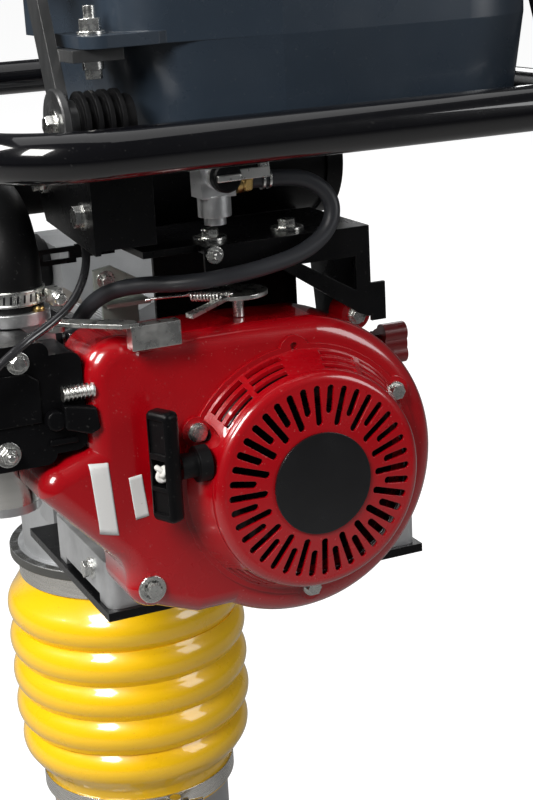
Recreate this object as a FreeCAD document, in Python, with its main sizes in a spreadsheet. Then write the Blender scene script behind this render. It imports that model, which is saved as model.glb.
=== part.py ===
import FreeCAD, Part
import Sketcher
import math
import os
from FreeCAD import Placement, Rotation, Vector

# Jumping jack rammer, millimetres.
# World frame: +Z up, -Y is the operator's side, origin on the flat sole under the leg.
# Machine frame: the same origin, tilted forward by the lean angle, with Z along the leg.
# Engine frame: the machine frame moved to the crankshaft axis at the recoil starter's plane.

DIMENSIONS = {
    "lean_angle": 8, "shaft_height": 680, "recoil_setback": 450,
    "sole_width": 280, "sole_thick": 8, "block_width": 246, "floor_height": 89,
    "skirt_outer": 185, "skirt_inner": 176, "skirt_top": 235, "foot_flange_dia": 250,
    "foot_bolt_circle": 222, "cylinder_outer": 130, "cylinder_inner": 114, "cylinder_top": 308,
    "cap_thick": 12, "guide_inner": 130.1, "guide_outer": 150, "guide_bottom": 180,
    "piston_dia": 113.8, "piston_low": 200, "piston_thick": 15, "stem_dia": 30, "stem_bore": 30.1,
    "spring_mean": 88, "spring_wire": 12, "spring_turns": 5,
    "neck_dia": 196, "neck_low": 425, "flange_dia": 224, "flange_low": 474, "flange_thick": 8.9,
    "crank_height": 580, "crank_throw": 20, "pin_dia": 26, "conrod_length": 140,
    "case_radius": 97, "case_bore": 85, "case_rear": 95, "case_front": 60, "case_wall": 20,
    "tooth_module": 2.5, "gear_teeth": 64, "pinion_teeth": 16,
    "bellows_peak": 123.5, "bellows_valley": 113, "bellows_wall": 3, "band_width": 18,
    "tube_dia": 32, "tube_wall": 2.5, "handle_half": 222, "handle_rear": 74, "handle_front": 560,
    "handle_rise": 256,
    "bend_radius": 66, "plate_half": 137, "plate_thick": 7, "plate_top": 110,
    "cover_radius": 114, "cover_depth": 60, "cover_wall": 2.5, "recoil_radius": 96,
    "recoil_depth": 36, "slot_count": 20, "emblem_dia": 76, "recoil_bolt_circle": 185,
    "flywheel_dia": 150, "shaft_dia": 40, "pto_dia": 24, "drum_dia": 104, "housing_dia": 150,
    "hose_dia": 12, "cable_dia": 6, "tank_low": 262, "tank_high": 376, "elbow_dia": 44,
    "cleaner_dia": 92, "grip_length": 81, "rope_dia": 4.4,
}

document = FreeCAD.newDocument("JumpingJack")
sheet = document.addObject("Spreadsheet::Sheet", "Dims")
for row, (alias, value) in enumerate(DIMENSIONS.items(), start=1):
    sheet.set(f"A{row}", alias)
    sheet.set(f"B{row}", str(value))
    sheet.setAlias(f"B{row}", alias)
document.recompute()

parts = {}
X = Vector(1, 0, 0)
Y = Vector(0, 1, 0)
Z = Vector(0, 0, 1)
DOWN = Vector(0, 0, -1)
REAR = Vector(0, -1, 0)
LEFT = Vector(-1, 0, 0)


def size(alias):
    """The number that the sheet holds for an alias."""
    return float(sheet.get(alias))


TILT = Placement(Vector(), Rotation(X, -size("lean_angle")))


def eng(x, y, z):
    """A point of the engine frame, in the machine frame."""
    return Vector(x, y - size("recoil_setback"), z + size("shaft_height"))


def bind(obj, **values):
    """Set properties to numbers, or bind them to expressions given as text."""
    for name, value in values.items():
        if isinstance(value, str):
            obj.setExpression(name, value)
        else:
            setattr(obj, name, value)
    return obj


def finish(node, obj, placement=TILT):
    """Record the finished sub-part under its node's name."""
    obj.Label = node
    obj.Placement = placement.multiply(obj.Placement)
    parts[node] = obj
    return obj


# ---------------------------------------------------------------- Part primitives

def box(low, length, width, height):
    """A box from its lowest corner."""
    obj = document.addObject("Part::Box", "Box")
    bind(obj, Length=length, Width=width, Height=height)
    obj.Placement = Placement(low, Rotation())
    return obj


def block(low, high):
    """A box between two corners."""
    return box(low, high.x - low.x, high.y - low.y, high.z - low.z)


def rod(start, direction, length, radius):
    """A cylinder from its start point along a direction."""
    obj = document.addObject("Part::Cylinder", "Rod")
    bind(obj, Radius=radius, Height=length)
    obj.Placement = Placement(start, Rotation(Z, direction))
    return obj


def cone(start, direction, length, first, last):
    """A cone from the first radius to the last one."""
    obj = document.addObject("Part::Cone", "Cone")
    bind(obj, Radius1=first, Radius2=last, Height=length)
    obj.Placement = Placement(start, Rotation(Z, direction))
    return obj


def hexagon(start, direction, length, across):
    """A hexagonal prism by its size across flats."""
    obj = document.addObject("Part::Prism", "Hex")
    bind(obj, Polygon=6, Circumradius=across / math.sqrt(3), Height=length)
    obj.Placement = Placement(start, Rotation(Z, direction))
    return obj


def fuse(*shapes):
    """One solid, or one group of solids, from several objects."""
    obj = document.addObject("Part::MultiFuse", "Fuse")
    obj.Shapes = list(shapes)
    return obj


def cut(base, *tools):
    """The base without the tools."""
    obj = document.addObject("Part::Cut", "Cut")
    obj.Base = base
    obj.Tool = tools[0] if len(tools) == 1 else fuse(*tools)
    return obj


def common(base, tool):
    """What two objects share."""
    obj = document.addObject("Part::Common", "Common")
    obj.Base = base
    obj.Tool = tool
    return obj


def rounded(base, radius, choose):
    """The base with the edges that choose() accepts rounded."""
    document.recompute()
    edges = [
        (number, radius, radius)
        for number, edge in enumerate(base.Shape.Edges, start=1)
        if choose(edge)
    ]
    obj = document.addObject("Part::Fillet", "Round")
    obj.Base = base
    obj.Edges = edges
    return obj


def panel(corners, direction, thickness):
    """A flat plate from its corners, thickened along a direction."""
    edge = document.addObject("Part::Polygon", "Corners")
    edge.Nodes = corners
    edge.Close = True
    plate = document.addObject("Part::Extrusion", "Panel")
    plate.Base = edge
    plate.DirMode = "Custom"
    plate.Dir = direction
    plate.Solid = True
    return bind(plate, LengthFwd=thickness)


def along(direction):
    """A test for straight edges that run along a direction."""
    def test(edge):
        if edge.Curve.TypeId != "Part::GeomLine":
            return False
        return abs(abs(edge.tangentAt(edge.FirstParameter).dot(direction)) - 1) < 1e-6
    return test


def hex_bolt(seat, direction, across, shank=0.0):
    """A washer and a hexagonal head on a seat, with an optional shank behind it."""
    washer = rod(seat, direction, 2.0, across * 0.72)
    head = hexagon(seat + direction * 2.0, direction, across * 0.45, across)
    if not shank:
        return fuse(washer, head)
    return fuse(washer, head, rod(seat - direction * shank, direction, shank + 1, across * 0.27))


# ---------------------------------------------------------------- PartDesign helpers

def new_body(name):
    """An empty body."""
    return document.addObject("PartDesign::Body", name)


def new_sketch(body, role, offset=0.0):
    """A sketch on one of the body's own origin planes, moved along the plane's normal."""
    sketch = body.newObject("Sketcher::SketchObject", "Sketch")
    plane = next(item for item in body.Origin.OriginFeatures if item.Role == role)
    sketch.AttachmentSupport = [(plane, "")]
    sketch.MapMode = "FlatFace"
    sketch.AttachmentOffset = Placement(Vector(0, 0, offset), Rotation())
    return sketch


def outline(sketch, points):
    """A closed outline; a point given with a middle point is reached by an arc."""
    ends = [point[-1] if isinstance(point[0], tuple) else point for point in points]
    first = ends[-1]
    for point, end in zip(points, ends):
        start = Vector(*first, 0)
        stop = Vector(*end, 0)
        if isinstance(point[0], tuple):
            sketch.addGeometry(Part.Arc(start, Vector(*point[0], 0), stop))
        else:
            sketch.addGeometry(Part.LineSegment(start, stop))
        first = end


def ring(sketch, centre, expression):
    """A circle whose radius follows an expression."""
    index = sketch.addGeometry(Part.Circle(Vector(*centre, 0), Z, 1.0))
    number = sketch.addConstraint(Sketcher.Constraint("Radius", index, 1.0))
    sketch.setExpression(f"Constraints[{number}]", expression)


def pad(body, sketch, length, **options):
    """A pad whose length is a number or an expression."""
    feature = body.newObject("PartDesign::Pad", "Pad")
    feature.Profile = sketch
    bind(feature, Length=length, **options)
    return feature


def pocket(body, sketch, length, reverse=False):
    """A pocket, checked to take material away."""
    document.recompute()
    before = body.Shape.Volume
    feature = body.newObject("PartDesign::Pocket", "Pocket")
    feature.Profile = sketch
    bind(feature, Length=length, Reversed=reverse)
    document.recompute()
    if body.Shape.Volume > before - 1:
        raise RuntimeError(f"{body.Label}: a pocket cuts nothing")
    return feature


def pattern(body, features, count):
    """Copies of features round the sketch normal of the first one's own axis."""
    feature = body.newObject("PartDesign::PolarPattern", "Pattern")
    feature.Originals = features
    feature.Axis = (features[0].Profile[0], ["N_Axis"])
    bind(feature, Angle=360.0, Occurrences=count)
    body.Tip = feature
    return feature


def turned(node, points, placement=TILT):
    """A body turned about its own Z axis from an outline of radius and height."""
    body = new_body(node)
    sketch = new_sketch(body, "XZ_Plane")
    outline(sketch, points)
    feature = body.newObject("PartDesign::Revolution", "Turn")
    feature.Profile = sketch
    feature.ReferenceAxis = (sketch, ["V_Axis"])
    feature.Angle = 360.0
    return finish(node, body, placement)


def sleeve(node, inner, outer, low, high):
    """A straight tube along the leg, with its radii and height taken from the sheet."""
    body = new_body(node)
    sketch = new_sketch(body, "XY_Plane", low)
    ring(sketch, (0, 0), outer)
    ring(sketch, (0, 0), inner)
    pad(body, sketch, high)
    return finish(node, body)


# ---------------------------------------------------------------- foot and leg

def make_foot():
    lean = math.radians(size("lean_angle"))
    floor = size("floor_height")
    thick = size("sole_thick")

    def seat(y):
        """Height of the inclined foot top above the ground at a place along the foot."""
        return (floor - y * math.sin(lean)) / math.cos(lean)

    sole = new_body("sole_plate")
    sketch = new_sketch(sole, "YZ_Plane")
    outline(sketch, [
        (-172, 12), (-160, 0), (118, 0), ((156, 7), (190, 28)), (185, 36),
        ((152, 15.5), (116, thick)), (-158, thick), (-168, 18),
    ])
    pad(sole, sketch, "Dims.sole_width", Midplane=True)
    finish("sole_plate", sole, Placement())

    wood = new_body("foot_block")
    sketch = new_sketch(wood, "YZ_Plane")
    outline(sketch, [
        (-152, thick), (112, thick), ((142, 14), (168, 28.5)), (150, 52), (124, seat(124)),
        (-132, seat(-132)), (-152, 70),
    ])
    pad(wood, sketch, "Dims.block_width", Midplane=True)
    finish("foot_block", wood, Placement())

    skirt_in = size("skirt_inner") / 2
    skirt_out = size("skirt_outer") / 2
    flange = size("foot_flange_dia") / 2 - 4
    spring_out = size("cylinder_outer") / 2
    turned("leg_skirt", [
        (spring_out + 0.3, floor), (flange, floor), (flange, floor + 12), (skirt_out + 5, floor + 12),
        ((skirt_out + 1.5, floor + 13.5), (skirt_out, floor + 17)), (skirt_out, size("skirt_top")),
        (skirt_in, size("skirt_top")), (skirt_in, floor + 12), (spring_out + 0.3, floor + 12),
    ])
    bolts = []
    for quarter in range(4):
        angle = math.radians(45 + 90 * quarter)
        reach = size("foot_bolt_circle") / 2
        place = Vector(reach * math.cos(angle), reach * math.sin(angle), floor + 12)
        bolts.append(hex_bolt(place, Z, 17))
    finish("foot_bolts", fuse(*bolts))

    bore = size("cylinder_inner") / 2
    stem = size("stem_bore") / 2
    cap_top = size("cylinder_top") + size("cap_thick")
    turned("spring_cylinder", [
        (0, floor), (spring_out, floor), (spring_out, cap_top - 2), (spring_out - 2, cap_top),
        (stem, cap_top), (stem, size("cylinder_top")), (bore, size("cylinder_top")),
        (bore, floor + 11), (0, floor + 11),
    ])
    sleeve("guide_tube", "Dims.guide_inner / 2", "Dims.guide_outer / 2",
           size("guide_bottom"), "Dims.flange_low - Dims.guide_bottom")


def spring_coil(low, high):
    """A round-wire spring between two seats."""
    wire = size("spring_wire") / 2
    mean = size("spring_mean") / 2
    turns = size("spring_turns")
    start = low + wire + 0.6
    height = high - low - 2 * (wire + 0.6)
    helix = Part.makeHelix(height / turns, height, mean)
    helix.translate(Vector(0, 0, start))
    section = Part.Wire(Part.makeCircle(wire, Vector(mean, 0, start), Y))
    return Part.Wire(helix.Edges).makePipeShell([section], True, True)


def make_springs():
    low = size("piston_low")
    lower = spring_coil(size("floor_height") + 11, low)
    upper = spring_coil(low + size("piston_thick"), size("cylinder_top"))
    springs = document.addObject("Part::Feature", "rammer_springs")
    springs.Shape = Part.makeCompound([lower, upper])
    finish("rammer_springs", springs)


def make_piston():
    low = size("piston_low")
    top = low + size("piston_thick")
    sleeve_radius = size("piston_dia") / 2
    turned("piston", [
        (0, low), (sleeve_radius - 2, low), (sleeve_radius, low + 2), (sleeve_radius, top - 2),
        (sleeve_radius - 2, top), (0, top),
    ])
    wrist = size("crank_height") + size("crank_throw") - size("conrod_length")
    base = wrist - 72
    stem = rod(Vector(0, 0, top), Z, base - top + 4, "Dims.stem_dia / 2")
    bridge = block(Vector(-17, -22, base), Vector(17, 22, base + 16))
    ears = [block(Vector(-17, low_y, base + 16), Vector(17, low_y + 9, wrist + 16)) for low_y in (-22, 13)]
    eye = rod(Vector(0, -30, wrist), Y, 60, 9.05)
    finish("piston_rod", cut(fuse(stem, bridge, *ears), eye))


# ---------------------------------------------------------------- bellows and its clamps

def make_bellows():
    valley = size("bellows_valley")
    peak = size("bellows_peak")
    wall = size("bellows_wall")
    low_cuff = size("skirt_outer") / 2 + 0.3
    high_cuff = size("neck_dia") / 2 + 0.3
    folds = 5
    first = 252
    last = 437
    pitch = (last - first) / folds
    outer = [(low_cuff, 210), (low_cuff + 6, 210), (low_cuff + 6, 240), (valley - 4, first)]
    inner = [(high_cuff, 471), (high_cuff, 448), (valley - 6 - wall, last)]
    for fold in range(folds):
        low = first + pitch * fold
        stop = valley - 6 if fold == folds - 1 else valley
        bulge = peak - 4 if fold == 0 else peak
        outer.append(((bulge, low + pitch / 2), (stop, low + pitch)))
        back = last - pitch * fold
        inner.append((
            (peak - wall - (4 if fold == folds - 1 else 0), back - pitch / 2),
            (valley - wall - (4 if fold == folds - 1 else 0), back - pitch),
        ))
    outer += [(high_cuff + 5, 451), (high_cuff + 5, 471)]
    inner.append((low_cuff, 238))
    turned("bellows", outer + inner)


def band_clamp(node, radius, middle, angle):
    """A stainless band with two lugs and a T-bolt across them."""
    width = size("band_width")
    band = cut(
        rod(Vector(0, 0, middle - width / 2), Z, "Dims.band_width", radius + 1.6),
        rod(Vector(0, 0, middle - width / 2 - 1), Z, width + 2, radius + 0.15),
    )
    side = Vector(math.cos(angle), math.sin(angle), 0)
    across = Vector(-side.y, side.x, 0)
    seat = side * (radius + 7.2) + Vector(0, 0, middle)
    lugs = [rod(seat + across * shift - Z * 9, Z, 18, 5.8) for shift in (-21, 15)]
    bolt = fuse(
        rod(seat - across * 27, across, 70, 3.2),
        hexagon(seat + across * 22, across, 6, 11),
        rod(seat - across * 32, across, 6, 5.2),
    )
    finish(node, fuse(band, *lugs, bolt))


# ---------------------------------------------------------------- crankcase and its mechanism

def make_crankcase():
    centre = size("crank_height")
    top = size("shaft_height")
    rear = -size("case_rear")
    front = size("case_front")
    wall = size("case_wall")
    neck = size("neck_low")
    seat = size("flange_low")
    depth = front - rear
    outer = fuse(
        rod(Vector(0, rear, centre), Y, "Dims.case_rear + Dims.case_front", "Dims.case_radius"),
        rod(Vector(0, rear, top), Y, 65, 46),
        rod(Vector(0, 0, neck), Z, centre - neck, 98),
        rod(Vector(0, 0, seat), Z, "Dims.flange_thick", "Dims.flange_dia / 2"),
        block(Vector(-55, -62, centre + 60), Vector(55, 42, top + 112)),
        block(Vector(-94, rear, centre - 45), Vector(94, rear + 45, centre + 20)),
    )
    face = block(Vector(-120, front, seat + size("flange_thick")), Vector(120, 130, centre))
    hollow = fuse(
        rod(Vector(0, rear + wall, centre), Y, depth, "Dims.case_bore"),
        rod(Vector(0, rear + wall, top), Y, 34, 30),
        rod(Vector(0, 0, neck - 1), Z, seat - neck + 1, "Dims.guide_outer / 2"),
        rod(Vector(0, 0, seat - 1), Z, centre - seat + 1, 60),
        rod(Vector(0, rear + 4, centre), Y, wall, 25.04),
        rod(Vector(0, rear - 1, top), Y, wall + 2, 12.05),
    )
    finish("crankcase", cut(outer, hollow, face))

    disc = rod(Vector(0, front, centre), Y, 10, "Dims.case_radius")
    boss = cone(Vector(0, front + 10, centre), Y, 10, 62, 52)
    ribs = []
    for turn in range(6):
        rib = box(Vector(-4, front + 9, centre + 50), 8, 8, 36)
        angle = math.radians(60 * turn + 30)
        middle = Vector(0, 0, centre)
        spin = Placement(Vector(), Rotation(Y, math.degrees(angle)), middle)
        rib.Placement = spin.multiply(rib.Placement)
        ribs.append(rib)
    finish("crankcase_cover", fuse(disc, boss, *ribs))
    bolts = []
    for turn in range(6):
        angle = math.radians(60 * turn)
        place = Vector(88 * math.sin(angle), front + 10, centre + 88 * math.cos(angle))
        bolts.append(hex_bolt(place, Y, 10))
    finish("cover_bolts", fuse(*bolts))


def tooth_outline(teeth, phase):
    """Points of a spur gear outline with straight flanks."""
    module = size("tooth_module")
    pitch_radius = module * teeth / 2
    step = 2 * math.pi / teeth
    points = []
    for tooth in range(teeth):
        middle = tooth * step + phase
        for radius, part in (
            (pitch_radius - 1.2 * module, -0.33), (pitch_radius + 0.9 * module, -0.13),
            (pitch_radius + 0.9 * module, 0.13), (pitch_radius - 1.2 * module, 0.33),
        ):
            angle = middle + part * step
            points.append((radius * math.cos(angle), radius * math.sin(angle)))
    return points


def gear_body(node, teeth, phase, width, extras, placement):
    """A toothed wheel in the XZ plane, thickened forward, with round extras (radius, start, length)."""
    body = new_body(node)
    sketch = new_sketch(body, "XZ_Plane")
    outline(sketch, tooth_outline(teeth, phase))
    pad(body, sketch, width, Reversed=True)
    for radius, start, length, centre in extras:
        sketch = new_sketch(body, "XZ_Plane", -start)
        sketch.addGeometry(Part.Circle(Vector(*centre, 0), Z, radius))
        pad(body, sketch, length, Reversed=True)
    return finish(node, body, placement)


def make_mechanism():
    centre = size("crank_height")
    rear = -size("case_rear")
    throw = size("crank_throw")
    gear_y = rear + 25
    pin = size("pin_dia") / 2
    gear_body("crank_gear", int(size("gear_teeth")), 0.0, 20.0, [
        (24.99, -20, 21, (0, 0)), (38, 19, 37, (0, 0)), (pin, 55, 29, (0, throw)),
    ], TILT.multiply(Placement(Vector(0, gear_y, centre), Rotation())))

    top = centre + throw
    wrist = top - size("conrod_length")
    big_end = rod(Vector(0, -12, top), Y, 24, 25)
    small_end = rod(Vector(0, -12, wrist), Y, 24, 16)
    shank = block(Vector(-11, -8, wrist), Vector(11, 8, top))
    bore = rod(Vector(0, -20, top), Y, 40, pin + 0.04)
    finish("connecting_rod", cut(fuse(big_end, small_end, shank), bore))

    pinion_phase = math.pi / size("pinion_teeth")
    pinion_y = gear_y + size("recoil_setback") - 2
    shaft = 12.0
    drum = size("drum_dia") / 2
    origin = eng(0, pinion_y, 0)
    body = gear_body("clutch_drum", int(size("pinion_teeth")), pinion_phase, 24.0, [
        (shaft, -90, 91, (0, 0)), (drum, -96, 8, (0, 0)),
    ], TILT.multiply(Placement(origin, Rotation())))
    sketch = new_sketch(body, "XZ_Plane", 122)
    ring(sketch, (0, 0), "Dims.drum_dia / 2")
    ring(sketch, (0, 0), "Dims.drum_dia / 2 - 5")
    pad(body, sketch, 27.0, Reversed=True)

    shoes = cut(
        fuse(*[
            cut(
                rod(eng(0, 258, 0), Y, 20, drum - 6.5),
                block(eng(-60 if side > 0 else -4, 250, -60), eng(4 if side > 0 else 60, 290, 60)),
            )
            for side in (-1, 1)
        ], rod(eng(0, 258, 0), Y, 20, 22)),
        rod(eng(0, 250, 0), Y, 40, size("pto_dia") / 2),
    )
    finish("clutch_shoes", shoes)
    bell = cut(
        fuse(rod(eng(0, 236, 0), Y, 119, "Dims.housing_dia / 2"), rod(eng(0, 236, 0), Y, 10, 88)),
        rod(eng(0, 235, 0), Y, 108, 62),
        rod(eng(0, 340, 0), Y, 20, 12.05),
    )
    finish("clutch_housing", bell)


# ---------------------------------------------------------------- engine

def make_engine():
    plate_top = -size("plate_top")
    half = size("plate_half")
    plate = new_body("base_plate")
    sketch = new_sketch(plate, "XY_Plane")
    outline(sketch, [(-half, 66), (half, 66), (half, 279), (-half, 279)])
    pad(plate, sketch, "Dims.plate_thick")
    holes = new_sketch(plate, "XY_Plane")
    for x in (-81, 81):
        for y in (100, 175):
            holes.addGeometry(Part.Circle(Vector(x, y, 0), Z, 5.5))
    pocket(plate, holes, 60.0, True)
    plate.Placement = Placement(eng(0, 0, plate_top - size("plate_thick")), Rotation())
    low = plate_top - size("plate_thick")
    arms = [block(eng(x, 150, low - 38), eng(x + 12, 355, low)) for x in (-84, 72)]
    tie = block(eng(-72, 200, low - 20), eng(72, 212, low))
    finish("base_plate", fuse(plate, *arms, tie))

    case = rounded(block(eng(-80, 62, -96), eng(98, 228, 72)), 14, along(Y))
    feet = [
        rounded(block(eng(x, 70, plate_top), eng(x + 74, 206, -72)), 9, along(Z))
        for x in (-134, 60)
    ]
    nose = rod(eng(0, 227, 0), Y, 9, 60)
    bore = rod(eng(0, 50, 0), Y, 200, 20.05)
    holes = [rod(eng(x, y, plate_top - 1), Z, 60, 5.5) for x in (-110, 110) for y in (90, 186)]
    window = block(eng(-134, 95, -140), eng(-95, 181, plate_top + 6))
    sump = block(eng(-68, 74, -84), eng(86, 216, 60))
    finish("engine_block", cut(fuse(case, *feet, nose), bore, window, sump, *holes))

    lift = math.radians(25)
    axis = Vector(-math.cos(lift), 0, math.sin(lift))
    turn = Rotation(Z, axis)
    start = eng(0, 146, 0)
    fins = [rod(start + axis * 90, axis, 60, 38)]
    for index in range(7):
        fin = box(Vector(-52, -46, 92 + 8.5 * index), 104, 92, 3.2)
        fin.Placement = Placement(start, turn).multiply(fin.Placement)
        fins.append(fin)
    trim = block(eng(-80, 60, -96), eng(98, 230, 72))
    finish("cylinder_head", cut(fuse(*fins), trim))
    lid = box(Vector(-46, -40, 150), 92, 80, 26)
    lid.Placement = Placement(start, turn).multiply(lid.Placement)
    finish("rocker_cover", rounded(lid, 9, lambda edge: edge.Length < 60))
    main = rod(eng(0, 12, 0), Y, 226, "Dims.shaft_dia / 2")
    output = rod(eng(0, 238, 0), Y, 42, "Dims.pto_dia / 2")
    finish("crankshaft", fuse(main, output))
    blades = []
    for turn_index in range(14):
        blade = box(Vector(-2, 0, 44), 4, 12, 29)
        spin = Placement(eng(0, 12, 0), Rotation(Y, 360.0 * turn_index / 14))
        blade.Placement = spin.multiply(blade.Placement)
        blades.append(blade)
    disc = rod(eng(0, 24, 0), Y, 30, "Dims.flywheel_dia / 2")
    finish("flywheel", cut(fuse(disc, *blades), rod(eng(0, 0, 0), Y, 60, 20)))
    pulley = fuse(rod(eng(0, -16, 0), Y, 3, 52), rod(eng(0, -13, 0), Y, 7, 44), rod(eng(0, -6, 0), Y, 3, 52))
    finish("recoil_pulley", pulley)

    can = rounded(block(eng(-200, 202, 12), eng(-92, 276, 104)), 18, along(X))
    hollow = fuse(block(eng(-196, 206, 16), eng(-96, 272, 100)), rod(eng(-140, 239, 90), Z, 40, 8))
    finish("muffler", cut(fuse(can, rod(eng(-140, 239, 103), Z, 14, 11)), hollow))
    finish("engine_bolts", fuse(*[
        hex_bolt(eng(x, y, -72), Z, 12) for x in (-110, 110) for y in (90, 186)
    ], hex_bolt(eng(-134, 110, -88), LEFT, 12), *[hex_bolt(eng(x, 52, 170), Z, 12) for x in (-40, 22)]))


def make_covers():
    radius = size("cover_radius")
    depth = size("cover_depth")
    wall = size("cover_wall")
    body = new_body("fan_cover")

    def shroud(shrink):
        """The cover's outline, drawn in by the wall."""
        r = radius - shrink
        low = math.radians(239)
        top = math.radians(80)
        near = 0.7 * shrink
        return [
            (r * math.cos(low), r * math.sin(low)),
            ((r, 0), (r * math.cos(top), r * math.sin(top))),
            (-40, 115 - shrink),
            (-116, 115 - shrink),
            ((-149 + near, 112 - near), (-158 + shrink, 92)),
            (-158 + shrink, 43 - near),
            (-182 + near, 34 - shrink),
            ((-194 + near, 26 - near), (-196 + shrink, 12)),
            (-148 + near, -40 + near),
            ((-139 + near, -53 + near), (-138 + shrink, -68)),
            ((-132 + near, -81 + near), (-118 + near, -86 + shrink)),
            (-87 + near, -98 + near),
        ]

    sketch = new_sketch(body, "XZ_Plane")
    outline(sketch, shroud(0.0))
    pad(body, sketch, "Dims.cover_depth", Reversed=True)
    document.recompute()
    rim = [
        f"Edge{number}" for number, edge in enumerate(body.Shape.Edges, start=1)
        if all(abs(vertex.Point.y) < 1e-6 for vertex in edge.Vertexes)
    ]
    solid = body.Tip
    fillet = body.newObject("PartDesign::Fillet", "FrontEdge")
    fillet.Base = (solid, rim)
    fillet.Radius = 14.0
    document.recompute()
    inner = new_sketch(body, "XZ_Plane", -depth)
    outline(inner, shroud(wall))
    pocket(body, inner, "Dims.cover_depth - 12", True)
    mouth = new_sketch(body, "XZ_Plane")
    ring(mouth, (0, 0), "Dims.recoil_radius - 14")
    pocket(body, mouth, 20.0)
    body.Placement = Placement(eng(0, 0, 0), Rotation())
    lug = cut(rod(eng(69.5, 38, 100), Y, 22, 12), rod(eng(0, 30, 0), Y, 40, "Dims.cover_radius - 1"))
    finish("fan_cover", fuse(body, lug))

    flange = size("recoil_radius")
    deep = size("recoil_depth")
    skin = 2.2
    facing = Placement(eng(0, 0, 0), Rotation(X, 90))
    body = new_body("recoil_cover")
    sketch = new_sketch(body, "XZ_Plane")
    profile = [
        (flange, 0), (flange, 3), (92, 3), (82, deep - 10), ((80, deep - 4.8), (74, deep - 2.5)),
        (40, deep), (0, deep), (0, deep - skin), (40, deep - skin), (74, deep - 2.5 - skin),
        ((78, deep - 6.5), (79.6, deep - 10)), (89.2, 0),
    ]
    outline(sketch, profile)
    feature = body.newObject("PartDesign::Revolution", "Dome")
    feature.Profile = sketch
    feature.ReferenceAxis = (sketch, ["V_Axis"])
    feature.Angle = 360.0
    lugs = new_sketch(body, "XY_Plane")
    reach = size("recoil_bolt_circle") / 2
    for angle in (31.4, 91.4, 151.4, 271.4):
        spot = math.radians(angle)
        lugs.addGeometry(Part.Circle(Vector(reach * math.cos(spot), reach * math.sin(spot), 0), Z, 11.0))
    pad(body, lugs, 3.0)
    spare = new_sketch(body, "XY_Plane", 3)
    spot = math.radians(91.4)
    outward = Vector(math.cos(spot), math.sin(spot), 0)
    spare.addGeometry(Part.Circle(outward * 1.03 * reach, Z, 2.6))
    pocket(body, spare, 3.0)
    slots = []
    for start, stop, shift in ((45.5, 69.5, 0.0), (54.0, 69.5, 0.5)):
        sketch = new_sketch(body, "XY_Plane", deep + 1)
        half = 2.6
        turn = 2 * math.pi / size("slot_count") * shift
        along_slot = (math.cos(turn), math.sin(turn))
        side = (-along_slot[1], along_slot[0])

        def spot(reach, shift_side):
            return (
                reach * along_slot[0] + shift_side * side[0],
                reach * along_slot[1] + shift_side * side[1],
            )

        outline(sketch, [
            spot(stop, -half), (spot(stop + half, 0), spot(stop, half)),
            spot(start, half), (spot(start - half, 0), spot(start, -half)),
        ])
        slots.append(pocket(body, sketch, 9.0))
        pattern(body, [slots[-1]], int(size("slot_count")))
        document.recompute()
    louvres = []
    groups = ((39, 19), (61.5, 18.5), (100, 18.5), (121.5, 19.5), (223.5, 19), (298, 17), (319, 17))
    for first, width in groups:
        for row, shift in ((4.8, 0.0), (12.4, 1.0), (20.0, 2.0)):
            sector = document.addObject("Part::Cylinder", "Louvre")
            bind(sector, Radius=110, Height=4.6, Angle=width)
            sector.Placement = facing.multiply(Placement(Vector(0, 0, row), Rotation(Z, first + shift)))
            louvres.append(sector)
    body.Placement = facing
    seats = [
        eng(reach * math.cos(math.radians(angle)), -3, reach * math.sin(math.radians(angle)))
        for angle in (31.4, 151.4, 271.4)
    ]
    side = cone(eng(0, -3, 0), REAR, deep - 13, 92, 82)
    wells = common(side, fuse(*[rod(seat, REAR, deep, 11.5) for seat in seats]))
    recesses = [rod(seat, REAR, deep, 9.5) for seat in seats]
    guide_hole = rod(eng(-104, -18, 26), X, 24, 13.2)
    finish("recoil_cover", cut(fuse(body, wells), *louvres, *recesses, guide_hole))
    seats += [eng(-123, 0, -68), eng(69.5, 38, 100)]
    finish("recoil_bolts", fuse(*[hex_bolt(seat, REAR, 10) for seat in seats]))
    finish("centre_disc", rod(eng(0, -deep, 0), REAR, 2, "Dims.emblem_dia / 2"))

    finish("rope_guide", cut(
        fuse(rod(eng(-102, -18, 26), X, 14, 9), rod(eng(-90, -18, 26), X, 9, 13)),
        rod(eng(-110, -18, 26), X, 40, 3.2),
    ))
    half = size("grip_length") / 2
    bar = rounded(block(Vector(-14, -11, 4 - half), Vector(0, 11, 4 + half)), 5, lambda edge: True)
    bore = rod(Vector(-30, 0, 0), X, 60, "Dims.rope_dia / 2")
    window = block(Vector(-18, -6.5, -10), Vector(-7, 6.5, 10))
    turned_out = Placement(eng(-107, -18, 26), Rotation(Z, 25))
    finish("starter_grip", cut(bar, bore, window), TILT.multiply(turned_out))
    knob = fuse(rod(eng(98.5, 80, 62), X, 14, 7), rod(eng(110, 80, 62), X, 20, 12), *[
        rod(eng(110, 80 + 10 * math.cos(2.094 * lobe), 62 + 10 * math.sin(2.094 * lobe)), X, 20, 8)
        for lobe in range(3)
    ])
    finish("stop_switch", knob)


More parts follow.
